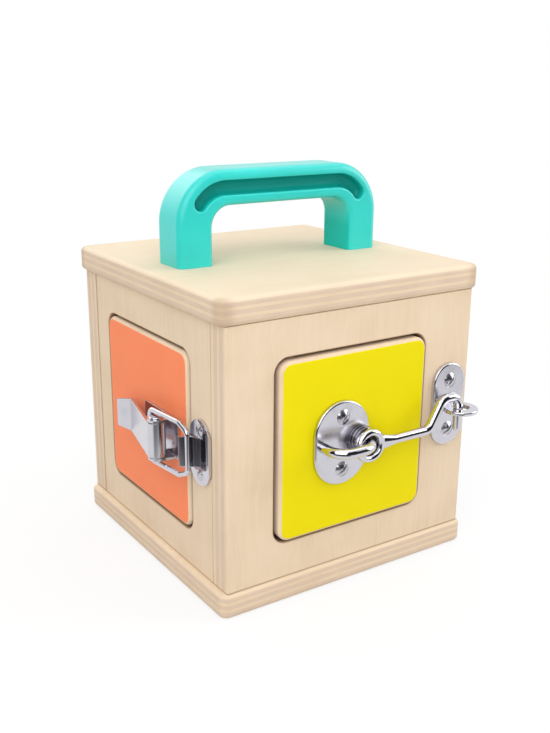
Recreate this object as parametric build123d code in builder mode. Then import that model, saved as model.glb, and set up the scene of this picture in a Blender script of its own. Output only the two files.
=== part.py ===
"""Wooden lock box: a plywood box with a carrying handle, and on each side a door with its own latch.

Millimetres, +Z up. The origin is the centre of the base board's underside. The front, at -Y, has the
cabin hook, the left side, at -X, the toggle latch, the back the barrel bolt and the right side the hasp.
On each side, u runs to the right as seen from outside, v runs up and w runs outward from the wall.
"""
import os
from math import asin, atan2, cos, degrees, hypot, radians, sin, tan

from build123d import *

os.makedirs("parts", exist_ok=True)

# Case: two boards with four panels between them
body_width = 138.0
body_depth = 142.0
body_height = 122.0
board_thickness = 12.0
board_overhang_side = 3.0
board_overhang_front = 1.2
board_corner_radius = 4.5
board_edge_round = 2.5
panel_thickness = 12.0
panel_edge_round = 0.9
dowel_diameter = 5.0
dowel_length = 20.0
dowel_depth_in_board = 8.0
dowel_end_inset = 12.0
glue_clearance = 0.05

# Wood left round the window of each panel, wider beside the latch to leave room for its keeper
window_rail = 17.5
front_hinge_stile = 24.3
front_latch_stile = 28.7
side_hinge_stile = 26.3
side_latch_stile = 30.7
window_corner_radius = 7.0

# Doors, each turning on two steel pins hidden in its hinge edge
door_thickness = 10.0
front_door_proud = 2.4
side_door_proud = 1.0
door_edge_round = 2.0
door_gap = 1.3
pivot_setback = 8.0
pivot_depth = 3.5
swing_clearance = 0.4
pin_diameter = 2.6
pin_depth_in_door = 14.0
pin_depth_in_panel = 8.0
running_clearance = 0.06
press_clearance = 0.02

# Screws that hold the latches, raised countersunk
screw_head_diameter = 5.6
screw_shank_diameter = 2.6
screw_length = 8.5
screw_dome = 0.9
hook_screw_head_diameter = 7.2
hook_screw_dome = 1.5
screw_point = 2.0
screw_clearance = 0.08
countersink_angle = 90.0

# Carrying handle, a moulded bow
handle_end_margin = 11.75
handle_height = 44.0
handle_depth = 22.6
handle_foot_width = 17.8
handle_grip_thickness = 16.7
handle_outer_radius = 25.0
handle_inner_radius = 10.0
handle_top_round = 3.6
handle_edge_round = 2.4
handle_slot_width = 6.8
handle_slot_depth = 6.0
handle_slot_drop = 8.5
handle_slot_turn = 53.0
handle_slot_round = 3.0
handle_slot_lip = 1.0
handle_screw_diameter = 4.0
handle_screw_grip = 11.0
handle_screw_head_diameter = 8.0
handle_screw_head_height = 2.6
handle_screw_clearance = 0.2
handle_washer_diameter = 11.0
handle_washer_thickness = 1.0

# Cabin hook on the front door and its keeper on the front panel
hook_plate_width = 30.4
hook_plate_height = 40.0
hook_plate_thickness = 2.0
hook_plate_shift = -8.4
hook_plate_edge_round = 0.9
hook_plate_screw_spacing = 25.0
staple_wire = 4.8
staple_span = 21.6
staple_reach = 12.0
staple_bend = 8.0
washer_diameter = 13.0
washer_thickness = 1.6
washer_count = 2
washer_clearance = 0.3
stack_gap = 0.1
hook_wire = 4.6
hook_eye_outer_diameter = 16.4
hook_eye_clearance = 2.1
hook_sag = 1.4
hook_neck_length = 9.0
hook_neck_width = 8.0
hook_neck_thickness = 4.0
hook_bend = 5.0
hook_rise_angle = 60.0
hook_crown = 10.5
hook_tip_length = 9.5
hook_tip_round = 1.5
hook_tip_shift = 1.6
hook_lift = 1.2
keeper_plate_width = 20.0
keeper_plate_height = 42.0
keeper_inset = 15.7
keeper_rise = 5.2
keeper_eye_diameter = 17.0
keeper_eye_thickness = 2.0
keeper_eye_round = 0.7
keeper_neck_width = 8.0
keeper_hook_play = 2.1

# Toggle latch on the left door and its keeper on the left panel
toggle_sheet = 1.5
toggle_pivot_inset = 15.3
toggle_pivot_height = 8.5
toggle_crank = 6.0
toggle_crank_drop = 0.2
toggle_lever_width = 16.6
toggle_knuckle_radius = 3.5
toggle_knuckle_turn = 250.0
toggle_cheek_thickness = 1.2
toggle_cheek_pivot_radius = 3.9
toggle_cheek_wire_radius = 2.6
toggle_fold_reach = 34.5
toggle_fold_height = 4.2
toggle_tab_run = 7.7
toggle_tab_rise = 3.8
toggle_tab_end_width = 13.0
toggle_tab_corner = 3.5
toggle_base_thickness = 1.5
toggle_base_length = 33.0
toggle_base_heel = 7.5
toggle_base_corner = 1.5
toggle_ear_thickness = 1.2
toggle_ear_radius = 4.1
toggle_ear_foot = 10.6
toggle_side_gap = 0.3
toggle_screw_setback = 18.0
toggle_screw_spacing = 9.6
rivet_diameter = 3.0
rivet_head_diameter = 6.4
rivet_head_height = 1.0
loop_wire = 2.5
loop_arm_gap = 0.45
loop_bar_width = 19.0
loop_shoulder_run = 6.5
loop_bend = 2.6
loop_wire_end = 0.6
strike_plate_width = 16.4
strike_plate_height = 31.0
strike_plate_inset = 10.2
strike_tongue_width = 14.2
strike_tongue_radius = 9.5
strike_tongue_turn = 78.0
strike_tip_inset = 4.1
strike_bar_gap = 0.5
strike_bar_turn = 37.0
strike_screw_spacing = 20.6

# Barrel bolt on the back door and its keeper on the back panel
bolt_plate_height = 25.0
bolt_plate_thickness = 1.5
bolt_plate_edge_inset = 4.0
bolt_plate_corner = 2.5
bolt_rod_diameter = 6.0
bolt_rod_lift = 0.6
bolt_rod_tail = 1.5
bolt_rod_end_chamfer = 0.8
bolt_slide_clearance = 0.1
bolt_guide_wall = 1.3
bolt_guide_length = 7.0
bolt_guide_inset = 3.0
bolt_throw = 17.0
bolt_throw_spare = 1.0
bolt_screw_spacing = 18.0
bolt_knob_diameter = 7.0
bolt_knob_stem_diameter = 4.0
bolt_knob_height = 11.0
bolt_knob_margin = 0.5
bolt_keeper_length = 10.0
bolt_keeper_inset = 10.2
bolt_keeper_clearance = 0.4
bolt_overlap = 8.0

# Hinged hasp on the right door and its turn knob on the right panel
hasp_sheet = 1.6
hasp_leaf_length = 20.0
hasp_leaf_height = 26.0
hasp_leaf_corner = 2.5
hasp_knuckle_radius = 2.4
hasp_knuckle_height = 9.4
hasp_knuckle_gap = 0.3
hasp_pin_diameter = 2.4
hasp_pin_inset = 10.8
hasp_strap_width = 22.0
hasp_strap_end_margin = 4.0
hasp_strap_drop = 0.5
hasp_strap_shoulder = 3.8
hasp_screw_spacing = 15.0
hasp_slot_length = 16.5
hasp_slot_width = 6.4
knob_plate_width = 17.0
knob_plate_height = 36.0
knob_plate_thickness = 1.5
knob_plate_inset = 10.7
knob_screw_spacing = 27.0
knob_boss_diameter = 10.0
knob_stem_diameter = 5.0
knob_wing_length = 15.0
knob_wing_width = 5.5
knob_wing_thickness = 2.2
knob_gap = 0.3

# Levels and planes worked out from the sizes above
mid_height = board_thickness + body_height / 2
top_level = board_thickness + body_height
lid_level = top_level + board_thickness
board_width = body_width + 2 * board_overhang_side
board_depth = body_depth + 2 * board_overhang_front
side_panel_length = body_depth - 2 * panel_thickness
window_height = body_height - 2 * window_rail
window_top = mid_height + window_height / 2
window_bottom = mid_height - window_height / 2
handle_length = body_width - 2 * handle_end_margin


def face_plane(turn, reach):
    """Outer face of one wall: local x is u, local y is v and local z is w."""
    right = Vector(1, 0, 0).rotate(Axis.Z, turn)
    outward = Vector(0, -1, 0).rotate(Axis.Z, turn)
    return Plane(origin=outward * reach, x_dir=right, z_dir=outward)


def spot(face, u, v, w=0.0):
    """Point at u, v and w on one side of the box."""
    return face.from_local_coords(Vector(u, v, w))


def level(face, v=mid_height):
    """Level plane at height v: local x is u and local y is w."""
    return Plane(origin=spot(face, 0, v), x_dir=face.x_dir, z_dir=(0, 0, -1))


def upright(face, u):
    """Plane across the wall at u: local x is v and local y is w."""
    return Plane(origin=spot(face, u, 0), x_dir=(0, 0, 1), z_dir=face.x_dir)


def seats(face, points, w):
    """Planes facing outward at the given u and v points, at the distance w."""
    return [Plane(origin=spot(face, u, v, w), x_dir=face.x_dir, z_dir=face.z_dir) for u, v in points]


def pair(u, spacing, v=mid_height):
    """Two points above each other, the given spacing apart."""
    return [(u, v + spacing / 2), (u, v - spacing / 2)]


def pilot_holes(face, points, surface, plate, head_diameter):
    """Holes in the wood under a plate, sunk where the screw heads reach below the plate."""
    sink = head_diameter / 2 + screw_clearance - plate * tan(radians(countersink_angle / 2))
    sink_radius = max(sink, screw_hole_radius + glue_clearance)
    with Locations(*seats(face, points, surface)):
        CounterSinkHole(
            screw_hole_radius,
            sink_radius,
            depth=screw_length,
            counter_sink_angle=countersink_angle,
        )


def outward_axis(face):
    """Axis used to sort faces from the inside of a wall to the outside."""
    return Axis((0, 0, 0), face.z_dir)


def window_span(wall_width, hinge_stile, latch_stile):
    """Left and right edge of a window between its two stiles."""
    return hinge_stile - wall_width / 2, wall_width / 2 - latch_stile


def door_span(window):
    """Left and right edge of the door in a window."""
    return window[0] + hinge_gap, window[1] - door_gap


def pivot_place(window):
    """Where the hinge axis of the door in a window lies along u."""
    return window[0] + hinge_gap + pivot_setback


def keep(piece, name):
    """Label a finished piece and write its file."""
    piece.part.label = name
    export_step(piece.part, f"parts/{name}.step")


front = face_plane(0, body_depth / 2)
left = face_plane(-90, body_width / 2)
back = face_plane(180, body_depth / 2)
right = face_plane(90, body_width / 2)
front_window = window_span(body_width, front_hinge_stile, front_latch_stile)
side_window = window_span(body_depth, side_hinge_stile, side_latch_stile)
front_seam = front_window[1]
side_seam = side_window[1]
walls = {
    "front": (front, body_width, front_window, front_door_proud),
    "left": (left, side_panel_length, side_window, side_door_proud),
    "back": (back, body_width, front_window, front_door_proud),
    "right": (right, side_panel_length, side_window, side_door_proud),
}

# Door size, with a hinge gap that lets the rounded outer corner swing past the panel
pivot_to_face = max(front_door_proud, side_door_proud) + pivot_depth
corner_run = pivot_setback - door_edge_round
corner_rise = pivot_to_face - door_edge_round
swing_reach = hypot(corner_run, corner_rise) + door_edge_round
hinge_gap = swing_reach - pivot_setback + swing_clearance
door_height = window_height - 2 * door_gap
door_top = mid_height + door_height / 2
door_bottom = mid_height - door_height / 2

# Cabin hook layout
hook_plate_u = sum(front_window) / 2 + hook_plate_shift
hook_plate_top = front_door_proud + hook_plate_thickness
staple_left = hook_plate_u - staple_span / 2
hook_eye_u = hook_plate_u + staple_span / 2
hook_level = hook_plate_top + washer_count * (washer_thickness + stack_gap) + stack_gap + hook_wire / 2
hook_eye_inner_radius = staple_wire / 2 + hook_eye_clearance
hook_eye_outer_radius = hook_eye_outer_diameter / 2
hook_v = mid_height - hook_sag
keeper_u = front_seam + keeper_inset
keeper_v = mid_height + keeper_rise
hook_top_v = keeper_v + keeper_eye_thickness / 2 + hook_lift + hook_bend
hook_tip_v = keeper_v - keeper_eye_thickness / 2 - hook_tip_length
hook_tip_u = keeper_u - hook_tip_shift
hook_crown_u = hook_tip_u - hook_crown
hook_shank_end = hook_crown_u - (hook_top_v - hook_v) / tan(radians(hook_rise_angle))
keeper_hole_radius = hook_wire / 2 + keeper_hook_play

# Toggle latch layout
toggle_u = side_seam - toggle_pivot_inset
toggle_w = side_door_proud + toggle_pivot_height
wire_pivot_u = toggle_u - toggle_crank
wire_pivot_w = toggle_w - toggle_crank_drop
ear_inner = toggle_lever_width / 2 + toggle_side_gap
ear_outer = ear_inner + toggle_ear_thickness
loop_arm_v = ear_outer + rivet_head_height + loop_arm_gap + loop_wire / 2
strike_tip_u = side_seam + strike_tip_inset
strike_centre_u = strike_tip_u + strike_tongue_radius * sin(radians(strike_tongue_turn))
strike_centre_w = toggle_sheet / 2 + strike_tongue_radius
bar_seat = strike_tongue_radius - toggle_sheet / 2 - strike_bar_gap - loop_wire / 2
bar_u = strike_centre_u - bar_seat * cos(radians(strike_bar_turn))
bar_w = strike_centre_w - bar_seat * sin(radians(strike_bar_turn))
strike_u = side_seam + strike_plate_inset
toggle_base_right = toggle_u + toggle_base_heel
toggle_base_u = toggle_base_right - toggle_base_length / 2
toggle_base_top = side_door_proud + toggle_base_thickness

# Barrel bolt layout
bolt_knob_room = bolt_throw + bolt_throw_spare + bolt_knob_diameter + 2 * bolt_knob_margin
bolt_plate_length = bolt_knob_room + 2 * (bolt_guide_inset + bolt_guide_length)
bolt_plate_u = door_span(front_window)[1] - bolt_plate_edge_inset - bolt_plate_length / 2
bolt_plate_top = front_door_proud + bolt_plate_thickness
bolt_w = bolt_plate_top + bolt_rod_lift + bolt_rod_diameter / 2
bolt_guide_run = bolt_plate_length / 2 - bolt_guide_inset - bolt_guide_length / 2
bolt_guide_us = (bolt_plate_u - bolt_guide_run, bolt_plate_u + bolt_guide_run)
bolt_guide_radius = bolt_rod_diameter / 2 + bolt_slide_clearance + bolt_guide_wall
bolt_knob_u = bolt_guide_us[1] - bolt_guide_length / 2 - bolt_knob_diameter / 2 - bolt_knob_margin
bolt_keeper_u = front_seam + bolt_keeper_inset
bolt_tip_u = bolt_keeper_u - bolt_keeper_length / 2 + bolt_overlap
bolt_tail_u = bolt_guide_us[0] - bolt_guide_length / 2 - bolt_rod_tail
bolt_keeper_hole = bolt_rod_diameter / 2 + bolt_keeper_clearance

# Hasp layout
hasp_pin_u = side_seam - hasp_pin_inset
hasp_pin_w = side_door_proud + hasp_knuckle_radius
hasp_leaf_u = hasp_pin_u - hasp_leaf_length / 2
hasp_screw_u = hasp_pin_u - hasp_leaf_length + hasp_leaf_corner + screw_head_diameter
knob_u = side_seam + knob_plate_inset
hasp_strap_end = knob_u + hasp_slot_length / 2 + hasp_strap_end_margin
hasp_strap_low = hasp_pin_w - hasp_strap_drop
hasp_strap_high = hasp_strap_low + hasp_sheet
knob_wing_low = hasp_strap_high + knob_gap
knob_boss_top = hasp_strap_low - knob_gap

# Screw points of every latch, on the door and on the frame of each side
hook_plate_screw_points = pair(hook_plate_u, hook_plate_screw_spacing)
hook_keeper_screw_points = pair(keeper_u, hook_plate_screw_spacing, keeper_v)
toggle_base_screw_points = pair(toggle_u - toggle_screw_setback, toggle_screw_spacing)
strike_screw_points = pair(strike_u, strike_screw_spacing)
bolt_plate_screw_points = [point for u in bolt_guide_us for point in pair(u, bolt_screw_spacing)]
bolt_keeper_screw_points = pair(bolt_keeper_u, bolt_screw_spacing)
hasp_leaf_screw_points = pair(hasp_screw_u, hasp_screw_spacing)
knob_plate_screw_points = pair(knob_u, knob_screw_spacing)
door_screws = {
    "front": (hook_plate_screw_points, hook_plate_thickness, hook_screw_head_diameter),
    "left": (toggle_base_screw_points, toggle_base_thickness, screw_head_diameter),
    "back": (bolt_plate_screw_points, bolt_plate_thickness, screw_head_diameter),
    "right": (hasp_leaf_screw_points, hasp_sheet, screw_head_diameter),
}
frame_screws = {
    "front": (hook_keeper_screw_points, hook_plate_thickness, hook_screw_head_diameter),
    "left": (strike_screw_points, toggle_sheet, screw_head_diameter),
    "back": (bolt_keeper_screw_points, bolt_plate_thickness, screw_head_diameter),
    "right": (knob_plate_screw_points, knob_plate_thickness, screw_head_diameter),
}
screw_hole_radius = screw_shank_diameter / 2 + screw_clearance

# Dowel axes, in the middle of each panel's thickness
dowel_spots = [
    spot(face, way * (length / 2 - dowel_end_inset), 0, -panel_thickness / 2)
    for face, length, *_ in walls.values()
    for way in (-1, 1)
]
dowel_hole_radius = dowel_diameter / 2 + glue_clearance
dowel_depth_in_panel = dowel_length - dowel_depth_in_board
handle_screw_u = handle_length / 2 - handle_foot_width / 2


def dowel_planes(height, facing):
    """Planes on every dowel axis at one height, facing up or down."""
    return [Plane(origin=(place.X, place.Y, height), z_dir=(0, 0, facing)) for place in dowel_spots]


# Base board and top board
for name, underside, joint_level, facing in (
    ("base_board", 0.0, board_thickness, 1),
    ("top_board", top_level, top_level, -1),
):
    with BuildPart() as board:
        with BuildSketch(Plane.XY.offset(underside)):
            RectangleRounded(board_width, board_depth, board_corner_radius)
        extrude(amount=board_thickness)
        outlines = board.edges().group_by(Axis.Z)
        fillet(outlines[0] + outlines[-1], board_edge_round)
        with Locations(*dowel_planes(joint_level, facing)):
            Hole(dowel_hole_radius, depth=dowel_depth_in_board + glue_clearance)
        if name == "top_board":
            with Locations((-handle_screw_u, 0, lid_level), (handle_screw_u, 0, lid_level)):
                Hole(handle_screw_diameter / 2 + handle_screw_clearance, depth=board_thickness)
    keep(board, name)

# Dowels between the boards and the panels
with BuildPart() as dowels:
    for joint_level, away in ((board_thickness, 1), (top_level, -1)):
        with BuildSketch(Plane.XY.offset(joint_level - away * dowel_depth_in_board)):
            with Locations(*[(place.X, place.Y) for place in dowel_spots]):
                Circle(dowel_diameter / 2)
        extrude(amount=away * dowel_length)
keep(dowels, "dowels")

# Panels with their windows, pin bores and pilot holes
for name, (face, length, window, _) in walls.items():
    pivot_u = pivot_place(window)
    window_width = window[1] - window[0]
    with BuildPart() as panel:
        with BuildSketch(face):
            with Locations((0, mid_height)):
                Rectangle(length, body_height)
            with Locations((sum(window) / 2, mid_height)):
                RectangleRounded(window_width, window_height, window_corner_radius, mode=Mode.SUBTRACT)
        extrude(amount=-panel_thickness)
        outer_face = panel.faces().sort_by(outward_axis(face))[-1]
        window_edges = outer_face.inner_wires()[0].edges()
        end_edges = outer_face.outer_wire().edges().filter_by(Axis.Z)
        fillet(window_edges + end_edges, panel_edge_round)
        with Locations(
            Plane(origin=spot(face, pivot_u, window_top, -pivot_depth), z_dir=(0, 0, -1)),
            Plane(origin=spot(face, pivot_u, window_bottom, -pivot_depth), z_dir=(0, 0, 1)),
        ):
            Hole(pin_diameter / 2 + running_clearance, depth=pin_depth_in_panel)
        screw_points, plate, head_diameter = frame_screws[name]
        pilot_holes(face, screw_points, 0, plate, head_diameter)
        ends = dowel_planes(board_thickness, -1) + dowel_planes(top_level, 1)
        with Locations(*[end for end in ends if abs(face.to_local_coords(end.origin).Z) < panel_thickness]):
            Hole(dowel_hole_radius, depth=dowel_depth_in_panel + glue_clearance)
    keep(panel, f"{name}_panel")

# Doors with rounded outer edges
for name, (face, _, window, proud) in walls.items():
    pivot_u = pivot_place(window)
    door_left, door_right = door_span(window)
    with BuildPart() as door:
        with BuildSketch(face.offset(proud)):
            with Locations(((door_left + door_right) / 2, mid_height)):
                RectangleRounded(door_right - door_left, door_height, window_corner_radius - door_gap)
        extrude(amount=-door_thickness)
        fillet(door.faces().sort_by(outward_axis(face))[-1].edges(), door_edge_round)
        fillet(door.faces().sort_by(outward_axis(face))[0].edges(), panel_edge_round)
        with Locations(
            Plane(origin=spot(face, pivot_u, door_top, -pivot_depth), z_dir=(0, 0, 1)),
            Plane(origin=spot(face, pivot_u, door_bottom, -pivot_depth), z_dir=(0, 0, -1)),
        ):
            Hole(pin_diameter / 2 + press_clearance, depth=pin_depth_in_door)
        screw_points, plate, head_diameter = door_screws[name]
        pilot_holes(face, screw_points, proud, plate, head_diameter)
    keep(door, f"{name}_door")

# Hinge pins, pressed into the doors and turning in the panels
pin_reach = door_gap + pin_depth_in_panel - door_gap / 2
for name, (face, _, window, _) in walls.items():
    with BuildPart() as pins:
        for edge_level, way in ((door_top, 1), (door_bottom, -1)):
            with BuildSketch(level(face, edge_level - way * pin_depth_in_door)):
                with Locations((pivot_place(window), -pivot_depth)):
                    Circle(pin_diameter / 2)
            extrude(amount=-way * (pin_depth_in_door + pin_reach))
    keep(pins, f"{name}_hinge_pins")

# Handle, a moulded bow with a curved groove along both sides
handle_half = handle_length / 2
handle_inside = handle_half - handle_foot_width
handle_bend_u = handle_half - handle_outer_radius
handle_bend_v = handle_height - handle_outer_radius
groove_radius = handle_outer_radius - handle_slot_drop
groove_level = handle_height - handle_slot_drop
groove_end_u = handle_bend_u + groove_radius * sin(radians(handle_slot_turn))
groove_end_v = handle_bend_v + groove_radius * cos(radians(handle_slot_turn))
handle_gap_top = lid_level + handle_height - handle_grip_thickness
handle_side = Plane(origin=(0, -handle_depth / 2, lid_level), x_dir=(1, 0, 0), z_dir=(0, -1, 0))


def above_lid(edge):
    """Whether an edge of the handle's sides lies off the lid."""
    middle = edge.center()
    return abs(abs(middle.Y) - handle_depth / 2) < press_clearance and middle.Z > lid_level + press_clearance


def beside_finger_gap(edge):
    """Whether an edge of the handle borders the finger gap."""
    middle = edge.center()
    return middle.Z < handle_gap_top + press_clearance and abs(middle.X) < handle_inside + press_clearance


def groove_floor(face):
    """Whether a face of the handle is the floor of one of its grooves."""
    flat = abs(abs(face.normal_at().Y) - 1) < press_clearance
    floor_level = handle_depth / 2 - handle_slot_depth
    return flat and abs(abs(face.center().Y) - floor_level) < press_clearance


with BuildPart() as handle:
    with BuildSketch(handle_side):
        with Locations((0, handle_height / 2)):
            bow = Rectangle(handle_length, handle_height)
        fillet(bow.vertices().group_by(Axis.Y)[-1], handle_outer_radius)
        with BuildSketch(mode=Mode.PRIVATE) as finger_gap:
            with Locations((0, (handle_height - handle_grip_thickness) / 2)):
                gap = Rectangle(2 * handle_inside, handle_height - handle_grip_thickness)
            fillet(gap.vertices().group_by(Axis.Y)[-1], handle_inner_radius)
        add(finger_gap.sketch, mode=Mode.SUBTRACT)
    extrude(amount=-handle_depth)
    rims = handle.edges().filter_by(above_lid)
    fillet(rims.filter_by(beside_finger_gap, reverse=True), handle_top_round)
    rims = handle.edges().filter_by(above_lid)
    fillet(rims.filter_by(beside_finger_gap), handle_edge_round)
    for groove_face, floor in (
        (handle_side, -handle_slot_depth),
        (handle_side.offset(-handle_depth), handle_slot_depth),
    ):
        with BuildSketch(groove_face):
            with BuildLine():
                Line((-handle_bend_u, groove_level), (handle_bend_u, groove_level))
                for way in (-1, 1):
                    RadiusArc(
                        (way * handle_bend_u, groove_level),
                        (way * groove_end_u, groove_end_v),
                        way * groove_radius,
                    )
            trace(line_width=handle_slot_width)
            with Locations((-groove_end_u, groove_end_v), (groove_end_u, groove_end_v)):
                Circle(handle_slot_width / 2)
        extrude(amount=floor, mode=Mode.SUBTRACT)
    floors = handle.faces().filter_by(groove_floor)
    fillet([edge for floor in floors for edge in floor.edges()], handle_slot_round)
    sides = handle.faces().filter_by(Axis.Y).sort_by(Axis.Y)
    lips = [edge for side in (sides[0], sides[-1]) for edge in side.inner_wires()[0].edges()]
    fillet(lips, handle_slot_lip)
    with Locations(
        Plane(origin=(-handle_screw_u, 0, lid_level), z_dir=(0, 0, -1)),
        Plane(origin=(handle_screw_u, 0, lid_level), z_dir=(0, 0, -1)),
    ):
        Hole(handle_screw_diameter / 2 + screw_clearance, depth=handle_screw_grip + screw_clearance)
keep(handle, "handle")

# Screws and washers that hold the handle from inside the box
with BuildPart() as handle_washers:
    with BuildSketch(Plane.XY.offset(top_level)):
        with Locations((-handle_screw_u, 0), (handle_screw_u, 0)):
            Circle(handle_washer_diameter / 2)
            Circle(handle_screw_diameter / 2 + handle_screw_clearance, mode=Mode.SUBTRACT)
    extrude(amount=-handle_washer_thickness)
keep(handle_washers, "handle_washers")

handle_head_level = top_level - handle_washer_thickness
with BuildPart() as handle_screws:
    with BuildSketch(Plane.XY.offset(handle_head_level)):
        with Locations((-handle_screw_u, 0), (handle_screw_u, 0)):
            Circle(handle_screw_head_diameter / 2)
    extrude(amount=-handle_screw_head_height)
    fillet(handle_screws.edges().group_by(Axis.Z)[0], handle_screw_head_height / 2)
    with BuildSketch(Plane.XY.offset(handle_head_level)):
        with Locations((-handle_screw_u, 0), (handle_screw_u, 0)):
            Circle(handle_screw_diameter / 2)
    extrude(amount=lid_level + handle_screw_grip - handle_head_level)
keep(handle_screws, "handle_screws")

# Latch screws, each with its head's rim on its plate. The hook has larger ones.
hook_head = (hook_screw_head_diameter / 2, hook_screw_dome)
small_head = (screw_head_diameter / 2, screw_dome)
shank_radius = screw_shank_diameter / 2
for name, face, points, surface, (head_radius, dome) in (
    ("hook_plate_screws", front, hook_plate_screw_points, hook_plate_top, hook_head),
    ("hook_keeper_screws", front, hook_keeper_screw_points, hook_plate_thickness, hook_head),
    ("toggle_base_screws", left, toggle_base_screw_points, toggle_base_top, small_head),
    ("toggle_strike_screws", left, strike_screw_points, toggle_sheet, small_head),
    ("bolt_plate_screws", back, bolt_plate_screw_points, bolt_plate_top, small_head),
    ("bolt_keeper_screws", back, bolt_keeper_screw_points, bolt_plate_thickness, small_head),
    ("hasp_leaf_screws", right, hasp_leaf_screw_points, side_door_proud + hasp_sheet, small_head),
    ("knob_plate_screws", right, knob_plate_screw_points, knob_plate_thickness, small_head),
):
    cone_depth = (head_radius - shank_radius) / tan(radians(countersink_angle / 2))
    with BuildPart() as screw:
        with BuildSketch(Plane.XZ):
            with BuildLine():
                ThreePointArc(
                    (0, dome),
                    (head_radius * sin(radians(countersink_angle / 2)), dome / 2),
                    (head_radius, 0),
                )
                Line((head_radius, 0), (shank_radius, -cone_depth))
                Line((shank_radius, -cone_depth), (shank_radius, screw_point - screw_length))
                Line((shank_radius, screw_point - screw_length), (0, -screw_length))
                Line((0, -screw_length), (0, dome))
            make_face()
        revolve(axis=Axis.Z)
    with BuildPart() as screws:
        with Locations(*seats(face, points, surface)):
            add(screw.part)
    keep(screws, name)


def screw_holes(face, points, surface, thickness, head_diameter):
    """Countersunk holes through a plate whose outer surface lies at the distance given."""
    with Locations(*seats(face, points, surface)):
        CounterSinkHole(
            screw_hole_radius,
            head_diameter / 2 + screw_clearance,
            depth=thickness,
            counter_sink_angle=countersink_angle,
        )


# Cabin hook: plate and staple on the door
with BuildPart() as hook_plate:
    with BuildSketch(front.offset(front_door_proud)):
        with Locations((hook_plate_u, mid_height)):
            SlotOverall(hook_plate_height, hook_plate_width, rotation=90)
    extrude(amount=hook_plate_thickness)
    fillet(hook_plate.faces().sort_by(outward_axis(front))[-1].edges(), hook_plate_edge_round)
    screw_holes(
        front, hook_plate_screw_points, hook_plate_top, hook_plate_thickness, hook_screw_head_diameter
    )
    staple_feet = [(staple_left, mid_height), (hook_eye_u, mid_height)]
    with Locations(*seats(front, staple_feet, hook_plate_top)):
        Hole(staple_wire / 2 + press_clearance, depth=hook_plate_thickness)
keep(hook_plate, "hook_plate")

staple_top = hook_plate_top + staple_reach
with BuildPart() as hook_staple:
    with BuildLine(level(front)) as staple_path:
        FilletPolyline(
            (staple_left, front_door_proud),
            (staple_left, staple_top),
            (hook_eye_u, staple_top),
            (hook_eye_u, front_door_proud),
            radius=staple_bend,
        )
    with BuildSketch(seats(front, [(staple_left, mid_height)], front_door_proud)[0]):
        Circle(staple_wire / 2)
    sweep(path=staple_path.wires()[0])
keep(hook_staple, "hook_staple")

with BuildPart() as hook_washers:
    for count in range(washer_count):
        with BuildSketch(front.offset(hook_plate_top + stack_gap + count * (washer_thickness + stack_gap))):
            with Locations((hook_eye_u, mid_height)):
                Circle(washer_diameter / 2)
                Circle(staple_wire / 2 + washer_clearance, mode=Mode.SUBTRACT)
        extrude(amount=washer_thickness)
    rims = hook_washers.edges().filter_by(GeomType.CIRCLE).group_by(SortBy.RADIUS)[-1]
    fillet(rims, washer_thickness / 2 - stack_gap)
keep(hook_washers, "hook_washers")

# Cabin hook: the hook, with its eye on the staple's leg and its tip through the keeper's eye
neck_root = hook_eye_u + hook_eye_outer_radius - hook_wire / 2
neck_end = neck_root + hook_neck_length
with BuildPart() as hook:
    with BuildSketch(level(front, hook_v)):
        with Locations((hook_eye_u + (hook_eye_inner_radius + hook_eye_outer_radius) / 2, hook_level)):
            Ellipse((hook_eye_outer_radius - hook_eye_inner_radius) / 2, hook_wire / 2)
    revolve(axis=Axis(spot(front, hook_eye_u, hook_v), front.z_dir))
    with BuildSketch(upright(front, neck_root)):
        with Locations((hook_v, hook_level)):
            Ellipse(hook_neck_width / 2, hook_neck_thickness / 2)
    with BuildSketch(upright(front, neck_end)):
        with Locations((hook_v, hook_level)):
            Circle(hook_wire / 2)
    loft()
    with BuildLine(front.offset(hook_level)) as hook_path:
        FilletPolyline(
            (neck_end, hook_v),
            (hook_shank_end, hook_v),
            (hook_crown_u, hook_top_v),
            (hook_tip_u, hook_top_v),
            (hook_tip_u, hook_tip_v),
            radius=hook_bend,
        )
    with BuildSketch(upright(front, neck_end)):
        with Locations((hook_v, hook_level)):
            Circle(hook_wire / 2)
    sweep(path=hook_path.wires()[0])
    fillet(hook.faces().sort_by(Axis.Z)[0].edges(), hook_tip_round)
keep(hook, "hook")

# Cabin hook: keeper plate and keeper eye on the frame
with BuildPart() as hook_keeper_plate:
    with BuildSketch(front):
        with Locations((keeper_u, keeper_v)):
            SlotOverall(keeper_plate_height, keeper_plate_width, rotation=90)
    extrude(amount=hook_plate_thickness)
    fillet(hook_keeper_plate.faces().sort_by(outward_axis(front))[-1].edges(), hook_plate_edge_round)
    screw_holes(
        front, hook_keeper_screw_points, hook_plate_thickness, hook_plate_thickness, hook_screw_head_diameter
    )
    with BuildSketch(front):
        with Locations((keeper_u, keeper_v)):
            Rectangle(keeper_neck_width + 2 * press_clearance, keeper_eye_thickness + 2 * press_clearance)
    extrude(amount=hook_plate_thickness, mode=Mode.SUBTRACT)
keep(hook_keeper_plate, "hook_keeper_plate")

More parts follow.
